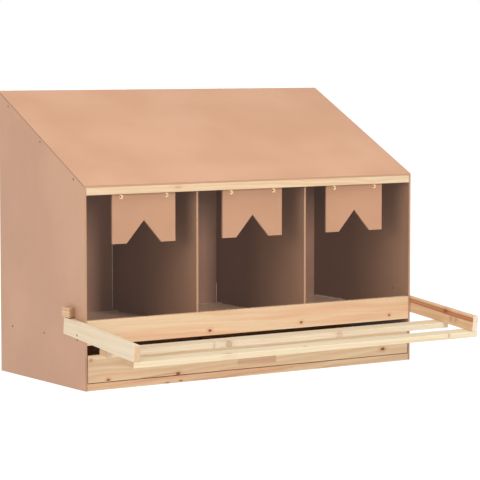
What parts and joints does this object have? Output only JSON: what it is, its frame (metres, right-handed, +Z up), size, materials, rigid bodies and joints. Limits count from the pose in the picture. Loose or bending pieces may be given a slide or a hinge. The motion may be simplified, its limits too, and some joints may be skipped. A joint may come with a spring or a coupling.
{
  "type": "poultry nesting box",
  "caption": "Free-standing wooden laying nest for hens with side-by-side nests, notched hanging flags, a sloping roof, a fold-up perch frame and a pull-out tray.",
  "frame": {"origin": "on the ground, under the middle of the whole object with its perch lowered", "axes": "+X to the right when looking into the nests from the front, -Y out of the front, +Z up"},
  "size_m": [0.933, 0.6242, 0.65],
  "materials": {
    "brown_panel": "matt brown film-faced thin plywood",
    "roof_sheet": "matt brown film-faced thin plywood, weathering side",
    "front_pine": "planed untreated pine with warm grain",
    "pale_pine": "planed untreated pale pine",
    "batten_pine": "sawn untreated pine",
    "dark_screw": "blackened steel",
    "zinc_screw": "zinc-plated steel",
    "side_screw": "dull bronzed steel"
  },
  "bodies": {
    "cabinet": {"left_side_panel": "brown_panel", "right_side_panel": "brown_panel", "left_divider": "brown_panel", "right_divider": "brown_panel", "back_panel": "brown_panel", "roof_panel": "roof_sheet", "nest_floor": "brown_panel", "top_rail": "front_pine", "sill_board": "front_pine", "base_strip": "front_pine", "left_roof_batten": "batten_pine", "right_roof_batten": "batten_pine", "back_top_batten": "batten_pine", "left_floor_batten": "batten_pine", "right_floor_batten": "batten_pine", "back_floor_batten": "batten_pine", "left_floor_joist": "batten_pine", "right_floor_joist": "batten_pine", "left_tray_runner": "batten_pine", "right_tray_runner": "batten_pine", "back_base_batten": "batten_pine", "left_flag": "brown_panel", "middle_flag": "brown_panel", "right_flag": "brown_panel", "left_flag_cleat": "batten_pine", "middle_flag_cleat": "batten_pine", "right_flag_cleat": "batten_pine", "flag_screws": "dark_screw", "cleat_screws": "zinc_screw", "left_side_screws": "side_screw", "right_side_screws": "side_screw", "back_panel_screws": "zinc_screw", "left_stop_block": "pale_pine", "right_stop_block": "pale_pine", "stop_block_screws": "zinc_screw", "left_pivot_screw": "dark_screw", "right_pivot_screw": "dark_screw", "left_pivot_washer": "zinc_screw", "right_pivot_washer": "zinc_screw"},
    "perch": {"left_perch_arm": "pale_pine", "right_perch_arm": "pale_pine", "inner_perch_slat": "pale_pine", "outer_perch_slat": "pale_pine", "perch_slat_screws": "zinc_screw"},
    "tray": {"tray_front": "batten_pine", "tray_bottom": "brown_panel", "tray_left_side": "batten_pine", "tray_right_side": "batten_pine", "tray_back": "batten_pine"}
  },
  "joints": [
    {"name": "perch_fold", "type": "hinge", "parent": "cabinet", "child": "perch", "pos_m": [0, -0.07045, 0.124], "axis": [1, 0, 0], "range_deg": [-95.8, 0]},
    {"name": "tray_slide", "type": "slide", "parent": "cabinet", "child": "tray", "axis": [0, -1, 0], "range_m": [0, 0.3]}
  ]
}
